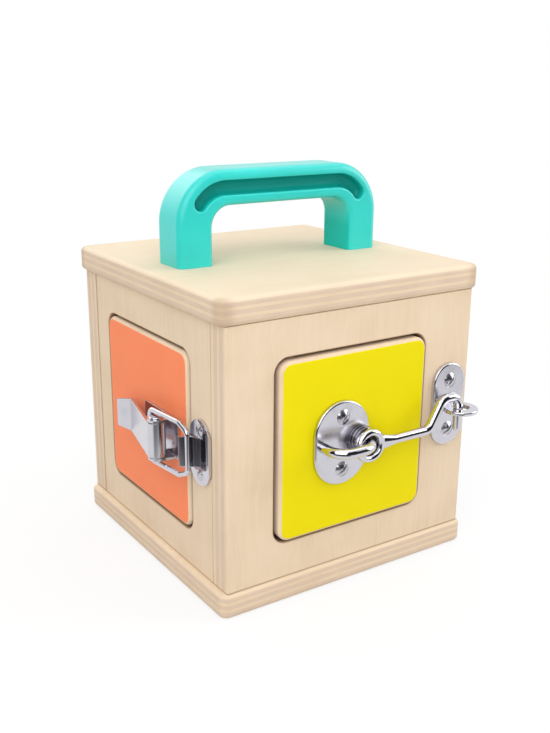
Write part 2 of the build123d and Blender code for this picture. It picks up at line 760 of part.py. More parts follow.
with BuildPart() as hook_keeper_eye:
    with BuildSketch(level(front, keeper_v)):
        with Locations((keeper_u, hook_level)):
            Circle(keeper_eye_diameter / 2)
    extrude(amount=keeper_eye_thickness / 2, both=True)
    fillet(hook_keeper_eye.edges().filter_by(GeomType.CIRCLE), keeper_eye_round)
    with BuildSketch(level(front, keeper_v)):
        with Locations((keeper_u, hook_level / 2)):
            Rectangle(keeper_neck_width, hook_level)
    extrude(amount=keeper_eye_thickness / 2, both=True)
    above_eye = spot(front, keeper_u, keeper_v + keeper_eye_thickness, hook_level)
    with Locations(Plane(above_eye, z_dir=(0, 0, 1))):
        Hole(keeper_hole_radius, depth=2 * keeper_eye_thickness)
keep(hook_keeper_eye, "hook_keeper_eye")

# Toggle latch: base with two ears on the door
with BuildPart() as toggle_base:
    with BuildSketch(left.offset(side_door_proud)):
        with Locations((toggle_base_u, mid_height)):
            RectangleRounded(toggle_base_length, 2 * ear_outer, toggle_base_corner)
    extrude(amount=toggle_base_thickness)
    for way in (-1, 1):
        with BuildSketch(level(left, mid_height + way * ear_inner)):
            with Locations((toggle_u, toggle_w)):
                Circle(toggle_ear_radius)
            with Locations((toggle_u, side_door_proud + toggle_base_thickness / 2)):
                Rectangle(toggle_ear_foot, toggle_base_thickness)
            make_hull()
            with Locations((toggle_u, toggle_w)):
                Circle(rivet_diameter / 2 + press_clearance, mode=Mode.SUBTRACT)
        extrude(amount=-way * toggle_ear_thickness)
    screw_holes(left, toggle_base_screw_points, toggle_base_top, toggle_base_thickness, screw_head_diameter)
keep(toggle_base, "toggle_base")

with BuildPart() as toggle_rivet:
    with BuildSketch(level(left)):
        with Locations((toggle_u, toggle_w)):
            Circle(rivet_diameter / 2)
    extrude(amount=ear_outer, both=True)
    for way in (-1, 1):
        with BuildSketch(level(left, mid_height + way * ear_outer)):
            with Locations((toggle_u, toggle_w)):
                Circle(rivet_head_diameter / 2)
        extrude(amount=-way * rivet_head_height)
    fillet(toggle_rivet.edges().group_by(Axis.Z)[0], rivet_head_height / 2)
    fillet(toggle_rivet.edges().group_by(Axis.Z)[-1], rivet_head_height / 2)
keep(toggle_rivet, "toggle_rivet")

# Toggle latch: lever of folded sheet, rolled round the rivet, with a cheek at each side for the wire
fold_u = toggle_u - toggle_fold_reach
fold_w = side_door_proud + toggle_fold_height
tab_u = fold_u - toggle_tab_run
tab_w = fold_w + toggle_tab_rise
fold_to_pivot = hypot(toggle_fold_reach, toggle_w - fold_w)
plate_rise = atan2(toggle_w - fold_w, toggle_fold_reach) + asin(toggle_knuckle_radius / fold_to_pivot)
roll_u = toggle_u - toggle_knuckle_radius * sin(plate_rise)
roll_w = toggle_w + toggle_knuckle_radius * cos(plate_rise)
roll_start = degrees(atan2(roll_w - toggle_w, roll_u - toggle_u))
with BuildPart() as toggle_lever:
    with BuildSketch(level(left)):
        with BuildLine():
            Polyline((tab_u, tab_w), (fold_u, fold_w), (roll_u, roll_w))
            CenterArc((toggle_u, toggle_w), toggle_knuckle_radius, roll_start, -toggle_knuckle_turn)
        trace(line_width=toggle_sheet)
    extrude(amount=toggle_lever_width / 2, both=True)
    for way in (-1, 1):
        with BuildSketch(level(left, mid_height + way * (toggle_lever_width / 2 - toggle_cheek_thickness))):
            with Locations((toggle_u, toggle_w)):
                Circle(toggle_cheek_pivot_radius)
            with Locations((wire_pivot_u, wire_pivot_w)):
                Circle(toggle_cheek_wire_radius)
            make_hull()
        extrude(amount=-way * toggle_cheek_thickness)
    with BuildSketch(level(left)):
        with Locations((toggle_u, toggle_w)):
            Circle(rivet_diameter / 2 + running_clearance)
        with Locations((wire_pivot_u, wire_pivot_w)):
            Circle(loop_wire / 2 + running_clearance)
    extrude(amount=toggle_lever_width, both=True, mode=Mode.SUBTRACT)
    with BuildSketch(left) as tab_outline:
        with BuildLine():
            Polyline(
                (toggle_u + toggle_lever_width, mid_height + toggle_lever_width / 2),
                (fold_u, mid_height + toggle_lever_width / 2),
                (tab_u - toggle_sheet, mid_height + toggle_tab_end_width / 2),
                (tab_u - toggle_sheet, mid_height - toggle_tab_end_width / 2),
                (fold_u, mid_height - toggle_lever_width / 2),
                (toggle_u + toggle_lever_width, mid_height - toggle_lever_width / 2),
                close=True,
            )
        make_face()
        fillet(tab_outline.vertices().group_by(Axis.X)[0], toggle_tab_corner)
    extrude(amount=toggle_w + toggle_lever_width, mode=Mode.INTERSECT)
keep(toggle_lever, "toggle_lever")

# Toggle latch: wire loop from the lever to the strike
wire_pivot = spot(left, wire_pivot_u, mid_height, wire_pivot_w)
loop_run = spot(left, bar_u, mid_height, bar_w) - wire_pivot
loop_length = loop_run.length
loop_plane = Plane(origin=wire_pivot, x_dir=loop_run, z_dir=loop_run.cross(Vector(0, 0, 1)))
loop_end_v = toggle_lever_width / 2 - toggle_cheek_thickness - loop_wire_end
with BuildPart() as toggle_loop:
    with BuildLine(loop_plane) as loop_path:
        FilletPolyline(
            (0, loop_end_v),
            (0, loop_arm_v),
            (loop_length - loop_shoulder_run, loop_arm_v),
            (loop_length, loop_bar_width / 2),
            (loop_length, -loop_bar_width / 2),
            (loop_length - loop_shoulder_run, -loop_arm_v),
            (0, -loop_arm_v),
            (0, -loop_end_v),
            radius=loop_bend,
        )
    with BuildSketch(Plane(origin=loop_path.wires()[0] @ 0, z_dir=loop_path.wires()[0] % 0)):
        Circle(loop_wire / 2)
    sweep(path=loop_path.wires()[0])
keep(toggle_loop, "toggle_loop")

# Toggle latch: strike plate on the frame, with a curled tongue that holds the loop
with BuildPart() as toggle_strike:
    with BuildSketch(left):
        with Locations((strike_u, mid_height)):
            SlotOverall(strike_plate_height, strike_plate_width, rotation=90)
    extrude(amount=toggle_sheet)
    with BuildSketch(level(left)):
        with BuildLine():
            CenterArc(
                (strike_centre_u, strike_centre_w),
                strike_tongue_radius,
                270 - strike_tongue_turn,
                strike_tongue_turn,
            )
        trace(line_width=toggle_sheet)
    extrude(amount=strike_tongue_width / 2, both=True)
    screw_holes(left, strike_screw_points, toggle_sheet, toggle_sheet, screw_head_diameter)
keep(toggle_strike, "toggle_strike")

# Barrel bolt: plate and guides on the door
with BuildPart() as bolt_plate:
    with BuildSketch(back.offset(front_door_proud)):
        with Locations((bolt_plate_u, mid_height)):
            RectangleRounded(bolt_plate_length, bolt_plate_height, bolt_plate_corner)
    extrude(amount=bolt_plate_thickness)
    screw_holes(back, bolt_plate_screw_points, bolt_plate_top, bolt_plate_thickness, screw_head_diameter)
keep(bolt_plate, "bolt_plate")


def bolt_arch(face, u, length, foot, outer_radius, hole_radius):
    """Half-round arch over the bolt, standing on a plate whose surface is at foot."""
    with BuildSketch(upright(face, u - length / 2)) as arch:
        with Locations((mid_height, bolt_w)):
            Circle(outer_radius)
        with Locations((mid_height, (foot + bolt_w) / 2)):
            Rectangle(2 * outer_radius, bolt_w - foot)
        with Locations((mid_height, foot - outer_radius)):
            Rectangle(2 * outer_radius, 2 * outer_radius, mode=Mode.SUBTRACT)
        with Locations((mid_height, bolt_w)):
            Circle(hole_radius, mode=Mode.SUBTRACT)
    extrude(arch.sketch, amount=length)


with BuildPart() as bolt_guides:
    for guide_u in bolt_guide_us:
        bolt_arch(
            back,
            guide_u,
            bolt_guide_length,
            bolt_plate_top,
            bolt_guide_radius,
            bolt_rod_diameter / 2 + bolt_slide_clearance,
        )
keep(bolt_guides, "bolt_guides")

# Barrel bolt: rod and knob
with BuildPart() as bolt_rod:
    with BuildSketch(upright(back, bolt_tail_u)):
        with Locations((mid_height, bolt_w)):
            Circle(bolt_rod_diameter / 2)
    extrude(amount=bolt_tip_u - bolt_tail_u)
    chamfer(bolt_rod.edges().filter_by(GeomType.CIRCLE), bolt_rod_end_chamfer)
    with Locations(*seats(back, [(bolt_knob_u, mid_height)], bolt_w + bolt_rod_diameter / 2)):
        Hole(bolt_knob_stem_diameter / 2 + press_clearance, depth=bolt_rod_diameter / 2)
keep(bolt_rod, "bolt_rod")

with BuildPart() as bolt_knob:
    with BuildSketch(back.offset(bolt_w)):
        with Locations((bolt_knob_u, mid_height)):
            Circle(bolt_knob_stem_diameter / 2)
    extrude(amount=bolt_knob_height)
    with Locations(spot(back, bolt_knob_u, mid_height, bolt_w + bolt_knob_height)):
        Sphere(bolt_knob_diameter / 2)
keep(bolt_knob, "bolt_knob")

# Barrel bolt: keeper on the frame
with BuildPart() as bolt_keeper:
    with BuildSketch(back):
        with Locations((bolt_keeper_u, mid_height)):
            RectangleRounded(bolt_keeper_length, bolt_plate_height, bolt_plate_corner)
    extrude(amount=bolt_plate_thickness)
    bolt_arch(
        back,
        bolt_keeper_u,
        bolt_keeper_length,
        bolt_plate_thickness / 2,
        bolt_keeper_hole + bolt_guide_wall,
        bolt_keeper_hole,
    )
    screw_holes(
        back, bolt_keeper_screw_points, bolt_plate_thickness, bolt_plate_thickness, screw_head_diameter
    )
keep(bolt_keeper, "bolt_keeper")

# Hasp: fixed leaf on the door with its two outer knuckles
leaf_left = hasp_pin_u - hasp_leaf_length
knuckle_start = hasp_knuckle_height / 2 + hasp_knuckle_gap
with BuildPart() as hasp_leaf:
    with BuildSketch(right.offset(side_door_proud)) as leaf_outline:
        with Locations((hasp_leaf_u, mid_height)):
            Rectangle(hasp_leaf_length, hasp_leaf_height)
        fillet(leaf_outline.vertices().group_by(Axis.X)[0], hasp_leaf_corner)
        with Locations((hasp_pin_u, mid_height)):
            Rectangle(2 * hasp_strap_shoulder, 2 * knuckle_start, mode=Mode.SUBTRACT)
    extrude(amount=hasp_sheet)
    for way in (-1, 1):
        with BuildSketch(level(right, mid_height + way * knuckle_start)):
            with Locations((hasp_pin_u, hasp_pin_w)):
                Circle(hasp_knuckle_radius)
        extrude(amount=-way * (hasp_leaf_height / 2 - knuckle_start))
    with BuildSketch(level(right)):
        with Locations((hasp_pin_u, hasp_pin_w)):
            Circle(hasp_pin_diameter / 2 + press_clearance)
    extrude(amount=hasp_leaf_height, both=True, mode=Mode.SUBTRACT)
    screw_holes(right, hasp_leaf_screw_points, side_door_proud + hasp_sheet, hasp_sheet, screw_head_diameter)
keep(hasp_leaf, "hasp_leaf")

with BuildPart() as hasp_pin:
    with BuildSketch(level(right)):
        with Locations((hasp_pin_u, hasp_pin_w)):
            Circle(hasp_pin_diameter / 2)
    extrude(amount=hasp_leaf_height / 2, both=True)
keep(hasp_pin, "hasp_pin")

# Hasp: strap with a slot that drops over the turn knob
strap_start = hasp_pin_u + hasp_strap_shoulder
with BuildPart() as hasp_strap:
    with BuildSketch(right.offset(hasp_strap_low)) as strap_outline:
        with Locations(((strap_start + hasp_strap_end) / 2, mid_height)):
            Rectangle(hasp_strap_end - strap_start, hasp_strap_width)
        fillet(strap_outline.vertices().group_by(Axis.X)[-1], hasp_strap_width / 2 - hasp_strap_end_margin)
        fillet(strap_outline.vertices().group_by(Axis.X)[0], hasp_leaf_corner)
        with Locations(((hasp_pin_u + strap_start) / 2 + hasp_strap_shoulder / 2, mid_height)):
            Rectangle(2 * hasp_strap_shoulder, hasp_knuckle_height)
        with Locations((knob_u, mid_height)):
            SlotOverall(hasp_slot_length, hasp_slot_width, mode=Mode.SUBTRACT)
    extrude(amount=hasp_sheet)
    with BuildSketch(level(right)):
        with Locations((hasp_pin_u, hasp_pin_w)):
            Circle(hasp_knuckle_radius)
    extrude(amount=hasp_knuckle_height / 2, both=True)
    with BuildSketch(level(right)):
        with Locations((hasp_pin_u, hasp_pin_w)):
            Circle(hasp_pin_diameter / 2 + running_clearance)
    extrude(amount=hasp_leaf_height, both=True, mode=Mode.SUBTRACT)
keep(hasp_strap, "hasp_strap")

# Hasp: plate with a boss on the frame, and the turn knob in it
with BuildPart() as knob_plate:
    with BuildSketch(right):
        with Locations((knob_u, mid_height)):
            SlotOverall(knob_plate_height, knob_plate_width, rotation=90)
    extrude(amount=knob_plate_thickness)
    with BuildSketch(right):
        with Locations((knob_u, mid_height)):
            Circle(knob_boss_diameter / 2)
    extrude(amount=knob_boss_top)
    screw_holes(
        right, knob_plate_screw_points, knob_plate_thickness, knob_plate_thickness, screw_head_diameter
    )
    with Locations(*seats(right, [(knob_u, mid_height)], knob_boss_top)):
        Hole(knob_stem_diameter / 2 + running_clearance, depth=knob_boss_top - knob_plate_thickness / 2)
keep(knob_plate, "knob_plate")

with BuildPart() as turn_knob:
    with BuildSketch(right.offset(knob_wing_low)):
        with Locations((knob_u, mid_height)):
            SlotOverall(knob_wing_length, knob_wing_width, rotation=90)
    extrude(amount=knob_wing_thickness)
    fillet(turn_knob.faces().sort_by(outward_axis(right))[-1].edges(), knob_wing_thickness / 2)
    with BuildSketch(right.offset(knob_plate_thickness)):
        with Locations((knob_u, mid_height)):
            Circle(knob_stem_diameter / 2)
    extrude(amount=knob_wing_low - knob_plate_thickness)
keep(turn_knob, "turn_knob")
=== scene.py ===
"""Looks of the wooden lock box: birch plywood, painted doors, a moulded handle and chromed latches.

Metres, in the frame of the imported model: the front faces -Y and the box stands on Z = 0.
Patterns in the materials are measured in millimetres.
"""

from math import cos, pi, radians, sin
from typing import NamedTuple

import bpy
from mathutils import Matrix, Vector


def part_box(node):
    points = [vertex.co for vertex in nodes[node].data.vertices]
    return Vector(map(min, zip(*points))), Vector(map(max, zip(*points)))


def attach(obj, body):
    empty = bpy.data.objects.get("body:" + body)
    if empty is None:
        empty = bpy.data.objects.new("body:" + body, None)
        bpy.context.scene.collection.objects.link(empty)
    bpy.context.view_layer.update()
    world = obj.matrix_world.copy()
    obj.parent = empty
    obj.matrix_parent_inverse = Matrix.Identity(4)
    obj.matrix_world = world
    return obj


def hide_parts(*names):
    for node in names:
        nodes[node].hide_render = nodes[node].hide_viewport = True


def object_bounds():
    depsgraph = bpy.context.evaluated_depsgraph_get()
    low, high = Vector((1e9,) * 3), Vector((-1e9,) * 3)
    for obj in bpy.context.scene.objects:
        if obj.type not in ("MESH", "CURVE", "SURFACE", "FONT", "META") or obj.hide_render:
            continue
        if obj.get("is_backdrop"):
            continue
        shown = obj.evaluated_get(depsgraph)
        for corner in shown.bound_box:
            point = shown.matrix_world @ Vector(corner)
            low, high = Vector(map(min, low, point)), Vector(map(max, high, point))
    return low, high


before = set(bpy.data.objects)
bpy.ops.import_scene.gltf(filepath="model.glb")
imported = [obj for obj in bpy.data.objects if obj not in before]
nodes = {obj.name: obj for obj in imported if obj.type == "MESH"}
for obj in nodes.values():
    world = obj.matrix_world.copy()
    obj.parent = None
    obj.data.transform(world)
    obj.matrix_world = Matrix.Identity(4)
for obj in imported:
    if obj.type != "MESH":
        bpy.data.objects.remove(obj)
cad_low, cad_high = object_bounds()
millimetre = 0.001
metre = 1 / millimetre
x_axis, y_axis, z_axis = range(3)


class Side(NamedTuple):
    """A side of the box: the axis it faces along, which way, its turn from the front, and its paint."""

    axis: int
    outward: int
    turn: float
    paint: tuple


class Metal(NamedTuple):
    """A plated metal: its colour, its roughness where clean and where smudged, and its edges' radius."""

    colour: tuple
    clean: float
    smudged: float
    edge: float


class Lamp(NamedTuple):
    """A square soft box: its place, width and power."""

    place: tuple
    width: float
    power: float


# Camera, fitted to the corners of the box in the photograph
camera_turn = radians(-33.78)
camera_rise = radians(17.347)
camera_roll = radians(0.482)
camera_distance = 489.75 * millimetre
camera_aim = Vector((3.88, 1.70, 86.42)) * millimetre
camera_clip = 10.0 * millimetre
picture_height = 733
focal_pixels = 942.83
sensor_size = 36.0
camera_side = (sin(camera_turn), -cos(camera_turn), 0.0)

# Sides of the box, and the paints of their doors
yellow = (0.84, 0.715, 0.0)
orange = (0.98, 0.262, 0.108)
green = (0.115, 0.41, 0.045)
blue = (0.02, 0.15, 0.56)
sides = {
    "front": Side(y_axis, -1, 0.0, yellow),
    "left": Side(x_axis, -1, -pi / 2, orange),
    "back": Side(y_axis, 1, pi, green),
    "right": Side(x_axis, 1, pi / 2, blue),
}

# Plywood: number of plies, how far their borders wander, and where the glue between them shows
board_plies = 7
panel_plies = 5
ply_wander = 0.22
ply_wander_size = 9.0
glue_line = (0.40, 0.49)
outer_skin = (0.2, 0.3)

# Grain of the birch: how far it is drawn out, how it bends, and the sizes of its markings
grain_stretch = 0.03
grain_bend = 9.0
grain_bend_size = 38.0
grain_shift = (0.7, 1.3, 2.1)
streak_size = 2.6
fibre_size = 0.55
cloud_size = 30.0
band_size = 12.0
pore_size = 0.8
pore_edge = (0.63, 0.74)

# Colours of the birch, and how strongly each marking shows
birch_tones = (
    (0.30, (0.70, 0.54, 0.37)),
    (0.50, (0.77, 0.605, 0.43)),
    (0.70, (0.81, 0.655, 0.48)),
)
streak_share = 0.32
cloud_share = 0.5
fibre_share = 0.18
end_grain_dark = (0.56, 0.405, 0.32)
end_grain_pale = (0.66, 0.515, 0.42)
band_least = 0.1
band_spread = 0.75
glue_brown = (0.40, 0.27, 0.18)
glue_strength = 0.2
pore_brown = (0.48, 0.33, 0.20)
pore_strength = 0.10

# Surface of the bare wood
wood_roughness = 0.52
wood_roughness_spread = 0.16
wood_specular = 0.3
wood_relief = 0.06
wood_relief_strength = 0.5
streak_height = 0.5
fibre_height = 0.3
pore_depth = 0.5

# Lid: a top painted paler as painted sheen, and browner end grain at the rounded corners
lid_sheen_birch = (0.83, 0.75, 0.585)
lid_sheen_strength = 0.32
lid_sheen_level = (-2.5, -0.6)
corner_brown = (0.47, 0.33, 0.21)
corner_strength = 0.55
corner_reach = (2.0, 9.5)

# Panels: painted shade at the joints at the ends of the side ones and along the foot, and a scorched
# window edge
joint_shade_brown = (0.30, 0.185, 0.09)
joint_shade_strength = 0.7
front_joint_shade = (0.2, 0.9)
back_joint_shade = (0.9, 2.1)
foot_shade_strength = 0.6
foot_shade_line = (0.25, 0.9)
scorch_brown = (0.22, 0.11, 0.045)
scorch_strength = 0.75
scorch_reach = (0.20, 0.85)

# Windows of the panels: how far they lie from their doors, their corners, and a depth beyond any wall
door_gap = 1.3 * millimetre
hinge_gap = 1.556 * millimetre
window_round = 7.0 * millimetre
window_depth = 1.0

# Paint of a door, on the flat of its outer face only
paint_shade = 0.93
paint_cloud_size = 22.0
paint_edge = (0.10, 0.24)
paint_ragged = 0.12
paint_ragged_size = 1.6
paint_roughness = 0.36
paint_roughness_spread = 0.10
paint_roughness_size = 5.0
paint_specular = 0.12
peel_size = 0.9
peel_depth = 0.03
peel_strength = 0.35

# Handle: radius of its bends, width of its feet, height of its arch, and where its grooves run
handle_bend = 25.0 * millimetre
handle_foot = 17.8 * millimetre
handle_arch = 17.3 * millimetre
groove_drop = 8.5 * millimetre
groove_depth = (0.4, 4.5)
groove_side = (3.2, 3.8)
groove_end = (3.0, 5.0)
foot_face = (0.2, 1.4)
foot_fade = (-6.0, 6.0)

# Moulded plastic of the handle, with painted shade in its grooves and on the inner faces of its feet
teal_tones = ((0.3, (0.012, 0.57, 0.52)), (0.7, (0.018, 0.64, 0.59)))
teal_groove_shade = (0.0, 0.22, 0.18)
teal_inside_shade = (0.0, 0.36, 0.26)
groove_shade_strength = 0.75
inside_shade_strength = 0.5
teal_cloud_size = 24.0
teal_roughness = 0.34
teal_roughness_spread = 0.10
teal_specular = 0.15
teal_gloss_roughness = 0.34
mould_grain_size = 0.35
mould_grain_depth = 0.02
mould_grain_strength = 0.3
mould_edge = 0.5

# Metals, and the smudges, scratches and faint waves of their plating, with painted shade inside the
# strike's tongue and a chrome darkened as painted shade for the washers
chrome_grey = (0.66, 0.65, 0.70)
satin_grey = (0.60, 0.59, 0.63)
washer_shade_grey = (0.22, 0.21, 0.24)
steel_grey = (0.50, 0.50, 0.51)
metals = {
    "polished_chrome": Metal(chrome_grey, 0.06, 0.14, 0.25),
    # The same chrome, with painted shade inside the strike's tongue
    "tongue_shaded_chrome": Metal(chrome_grey, 0.06, 0.14, 0.25),
    "sheet_chrome": Metal(chrome_grey, 0.20, 0.28, 0.25),
    "satin_chrome": Metal(satin_grey, 0.22, 0.30, 0.12),
    # Chrome darkened as painted shade for the washers
    "washer_shade_chrome": Metal(washer_shade_grey, 0.10, 0.18, 0.25),
    "plain_steel": Metal(steel_grey, 0.24, 0.38, 0.15),
}
smudge_size = 7.0
smudge_edge = (0.45, 0.75)
smudge_shade = 0.9
smudge_strength = 0.5
scratch_size = 0.25
scratch_stretch = (1.0, 1.0, 0.06)
scratch_edge = (0.62, 0.72)
scratch_roughness = 0.04
plating_wave_size = 3.0
plating_wave_depth = 0.03
plating_wave_strength = 0.10
soft_edge_samples = 6

# Tongue of the toggle latch's strike, with painted shade inside
tongue_side = (6.5, 7.1)
tongue_rim = (2.0, 2.8)
tongue_shade_grey = (0.10, 0.10, 0.12)
tongue_shade_strength = 0.75

# Beech of the dowels
beech_pale = (0.62, 0.43, 0.25)
beech_dark = (0.36, 0.21, 0.10)
fleck_size = 0.5
fleck_stretch = (1.0, 1.0, 0.1)
fleck_edge = (0.58, 0.70)
fleck_strength = 0.5
beech_roughness = 0.6
beech_roughness_spread = 0.1

# Screw heads, the cabin hook's larger than the others, and the side each group sits on
screw_radius = 2.8 * millimetre
screw_dome = 0.9 * millimetre
hook_screw_radius = 3.6 * millimetre
hook_screw_dome = 1.5 * millimetre
screw_sizes = {
    "Head radius": screw_radius,
    "Dome height": screw_dome,
    "Skirt depth": 0.5 * millimetre,
    "Slot width": 0.95 * millimetre,
    "Slot depth": 0.80 * millimetre,
    "Turn": radians(38),
    "Turn spread": radians(9),
}
screw_seed = 5
screw_corners = 40
screw_rings = 8
screw_crease = radians(30)
slot_run = 3.0
seat_digits = 5
screw_groups = {
    "case": {
        "hook_keeper_screws": "front",
        "toggle_strike_screws": "left",
        "bolt_keeper_screws": "back",
        "knob_plate_screws": "right",
    },
    "front_door": {"hook_plate_screws": "front"},
    "left_door": {"toggle_base_screws": "left"},
    "back_door": {"bolt_plate_screws": "back"},
    "right_door": {"hasp_leaf_screws": "right"},
}

# Floor: its size, where the shadow fades out on it, and its grey, which the camera sees lighter
floor_reach = 6.0
shadow_zone = (0.14, 0.42)
shadow_fill = 0.74
floor_grey = 0.60
floor_lift = 0.28

# Room: its light, and the dark parts of it in front of the box that the metal mirrors
white = (1.0, 1.0, 1.0, 1.0)
room_light = 0.61
room_mirrored = 0.95
dark_depth = 0.93
dark_ahead = (-0.1, 0.3)
dark_wall_top = (0.70, 0.90)
near_floor_ahead = (0.78, 0.93)
near_floor_reach = (0.17, 0.27)
far_floor_reach = (0.38, 0.52)

# Lamps
lamps = {
    "key": Lamp((-0.60, -0.58, 0.68), 1.0, 6.9),
    "top": Lamp((0.20, 0.05, 1.0), 1.0, 2.2),
    "fill": Lamp((0.85, -0.45, 0.45), 0.6, 3.6),
    "back": Lamp((-0.10, 0.95, 0.56), 0.7, 2.3),
}
lamp_aim = Vector((0.0, 0.0, 0.08))

# Sockets that share a name in nodes for several kinds of value: two inputs and the output
mix_sockets = {"RGBA": (6, 7, 2), "VECTOR": (4, 5, 1)}
random_sockets = (2, 3, 1)


class Link:
    """An output socket of a node tree. Arithmetic on it adds Math nodes."""

    def __init__(self, graph, socket):
        self.graph = graph
        self.socket = socket

    def math(self, operation, *terms):
        return self.graph.add("ShaderNodeMath", {"operation": operation}, dict(enumerate(terms)))

    def __add__(self, other):
        return self.math("ADD", self, other)

    def __radd__(self, other):
        return self.math("ADD", other, self)

    def __sub__(self, other):
        return self.math("SUBTRACT", self, other)

    def __rsub__(self, other):
        return self.math("SUBTRACT", other, self)

    def __mul__(self, other):
        return self.math("MULTIPLY", self, other)

    def __rmul__(self, other):
        return self.math("MULTIPLY", other, self)

    def __truediv__(self, other):
        return self.math("DIVIDE", self, other)

    def __mod__(self, other):
        return self.math("MODULO", self, other)

    def __gt__(self, other):
        return self.math("GREATER_THAN", self, other)

    def __abs__(self):
        return self.math("ABSOLUTE", self)

    def __round__(self):
        return self.math("ROUND", self)

    def at_least(self, other):
        return self.math("MAXIMUM", self, other)

    def at_most(self, other):
        return self.math("MINIMUM", self, other)

    def root(self):
        return self.math("SQRT", self)


class Graph:
    """A node tree that is filled one node at a time."""

    def __init__(self, tree):
        self.tree = tree
        self.tree.nodes.clear()

    def add(self, kind, settings=None, sockets=None, output=0):
        """Add a node, set its settings and then its sockets, and give one of its outputs."""
        node = self.tree.nodes.new(kind)
        for name, value in (settings or {}).items():
            if name == "stops":
                self.set_stops(node.color_ramp.elements, value)
            else:
                setattr(node, name, value)
        for name, value in (sockets or {}).items():
            if isinstance(value, Link):
                self.tree.links.new(value.socket, node.inputs[name])
            else:
                node.inputs[name].default_value = value
        return Link(self, node.outputs[output]) if len(node.outputs) else node

    def set_stops(self, elements, stops):
        """Give a colour ramp its stops, each a place and a colour."""
        while len(elements) < len(stops):
            elements.new(1.0)
        for element, (place, colour) in zip(elements, stops):
            element.position = place
            element.color = (*colour, 1.0)

    def step(self, value, low, high):
        """0 below low, 1 above high, and smooth between them."""
        sockets = {"Value": value, "From Min": low, "From Max": high}
        return self.add("ShaderNodeMapRange", {"interpolation_type": "SMOOTHSTEP"}, sockets)

    def axes(self, place):
        """The three numbers of a vector."""
        node = self.add("ShaderNodeSeparateXYZ", None, {0: place}).socket.node
        return [Link(self, socket) for socket in node.outputs]

    def join(self, **parts):
        """A vector from its numbers, 0 where none is given."""
        return self.add("ShaderNodeCombineXYZ", None, parts)

    def vector(self, operation, *terms, **sockets):
        """Vector maths on two vectors, or on one and a scale."""
        sockets.update(enumerate(terms))
        return self.add("ShaderNodeVectorMath", {"operation": operation}, sockets)

    def number(self, operation, *terms):
        """Vector maths that gives one number."""
        sockets = dict(enumerate(terms))
        return self.add("ShaderNodeVectorMath", {"operation": operation}, sockets, "Value")

    def ray_is(self, kind):
        """1 for rays of the kind given, and otherwise 0."""
        return self.add("ShaderNodeLightPath", output=f"Is {kind} Ray")


class Finish(Graph):
    """One material, with the surface's place on the object in millimetres and that place's numbers."""

    def __init__(self, name):
        self.material = bpy.data.materials.new(name)
        self.material.use_nodes = True
        super().__init__(self.material.node_tree)
        self.place = self.vector("SCALE", self.add("ShaderNodeTexCoord", output="Object"), Scale=metre)
        self.parts = self.axes(self.place)

    def noise(self, place, size, detail=3.0, roughness=0.5, output=0):
        """Cloudy noise whose features are about the given size, in millimetres."""
        sockets = {"Vector": place, "Scale": 1 / size, "Detail": detail, "Roughness": roughness}
        return self.add("ShaderNodeTexNoise", None, sockets, output)

    def swing(self, size, reach, detail=3.0):
        """Noise that swings to both sides of zero."""
        return (self.noise(self.place, size, detail) - 0.5) * reach

    def ramp(self, value, *stops):
        """Colour along a ramp of stops."""
        return self.add("ShaderNodeValToRGB", {"stops": stops}, {0: value})

    def blend(self, kind, share, first, second):
        """Mix two values of one kind."""
        low, high, output = mix_sockets[kind]
        return self.add("ShaderNodeMix", {"data_type": kind}, {0: share, low: first, high: second}, output)

    def mix(self, share, first, second):
        """Mix two colours."""
        paints = [(*paint, 1.0) if isinstance(paint, tuple) else paint for paint in (first, second)]
        return self.blend("RGBA", share, *paints)

    def bump(self, height, depth, strength, **sockets):
        """Relief from a height between 0 and 1, as deep as given in millimetres."""
        sockets.update(Height=height, Distance=depth * millimetre, Strength=strength)
        return self.add("ShaderNodeBump", None, sockets)

    def soft_edges(self, radius):
        """Normals that round off sharp edges by a small radius in millimetres."""
        return self.add("ShaderNodeBevel", {"samples": soft_edge_samples}, {"Radius": radius * millimetre})

    def surface(self, **sockets):
        """Put the finished shader on the surface."""
        named = {name.replace("_", " "): value for name, value in sockets.items()}
        shader = self.add("ShaderNodeBsdfPrincipled", None, named)
        self.add("ShaderNodeOutputMaterial", None, {"Surface": shader})
        return self.material


def ply_layers(finish, axis, middle, ply, outer_ply):
    """Where the grain runs across, in every second ply, and where the glue between plies shows."""
    wander = finish.swing(ply_wander_size, ply_wander)
    depth = abs(finish.parts[axis] - middle) / ply + wander
    layer = round(depth).at_most(outer_ply)
    across = (layer + outer_ply) % 2.0
    seam = finish.step(abs(depth - layer), *glue_line)
    skin = finish.step(depth, *[outer_ply + part for part in outer_skin])
    return across, seam * (1 - skin)


def wavy_grain(finish, shifted, across, grain_axis, cross_axis):
    """Place along wavy grain, drawn out along each ply's own direction."""
    wave = finish.noise(shifted, grain_bend_size, detail=1.0, output=1)
    wave = finish.vector("SCALE", finish.vector("SUBTRACT", wave, (0.5, 0.5, 0.5)), Scale=grain_bend)
    wavy = finish.vector("ADD", shifted, wave)
    drawn = []
    for axis in (grain_axis, cross_axis):
        stretch = [1.0, 1.0, 1.0]
        stretch[axis] = grain_stretch
        drawn.append(finish.vector("MULTIPLY", wavy, tuple(stretch)))
    return finish.blend("VECTOR", across, *drawn)


def lid_sheen_and_corners(finish, wood, low, high):
    """Paint the lid's top paler as painted sheen, and brown its corners."""
    # Painted sheen: the top face is made paler
    lid_sheen = finish.step(finish.parts[z_axis] - high.z * metre, *lid_sheen_level)
    wood = finish.mix(lid_sheen * lid_sheen_strength, wood, lid_sheen_birch)
    middle = tuple((low + high) * metre / 2)
    aside = finish.axes(finish.vector("ABSOLUTE", finish.vector("SUBTRACT", finish.place, middle)))
    inward = [(high - low)[axis] * metre / 2 - aside[axis] for axis in (x_axis, y_axis)]
    corner = 1 - finish.step(inward[0] + inward[1], *corner_reach)
    return finish.mix(corner * corner_strength, wood, corner_brown)


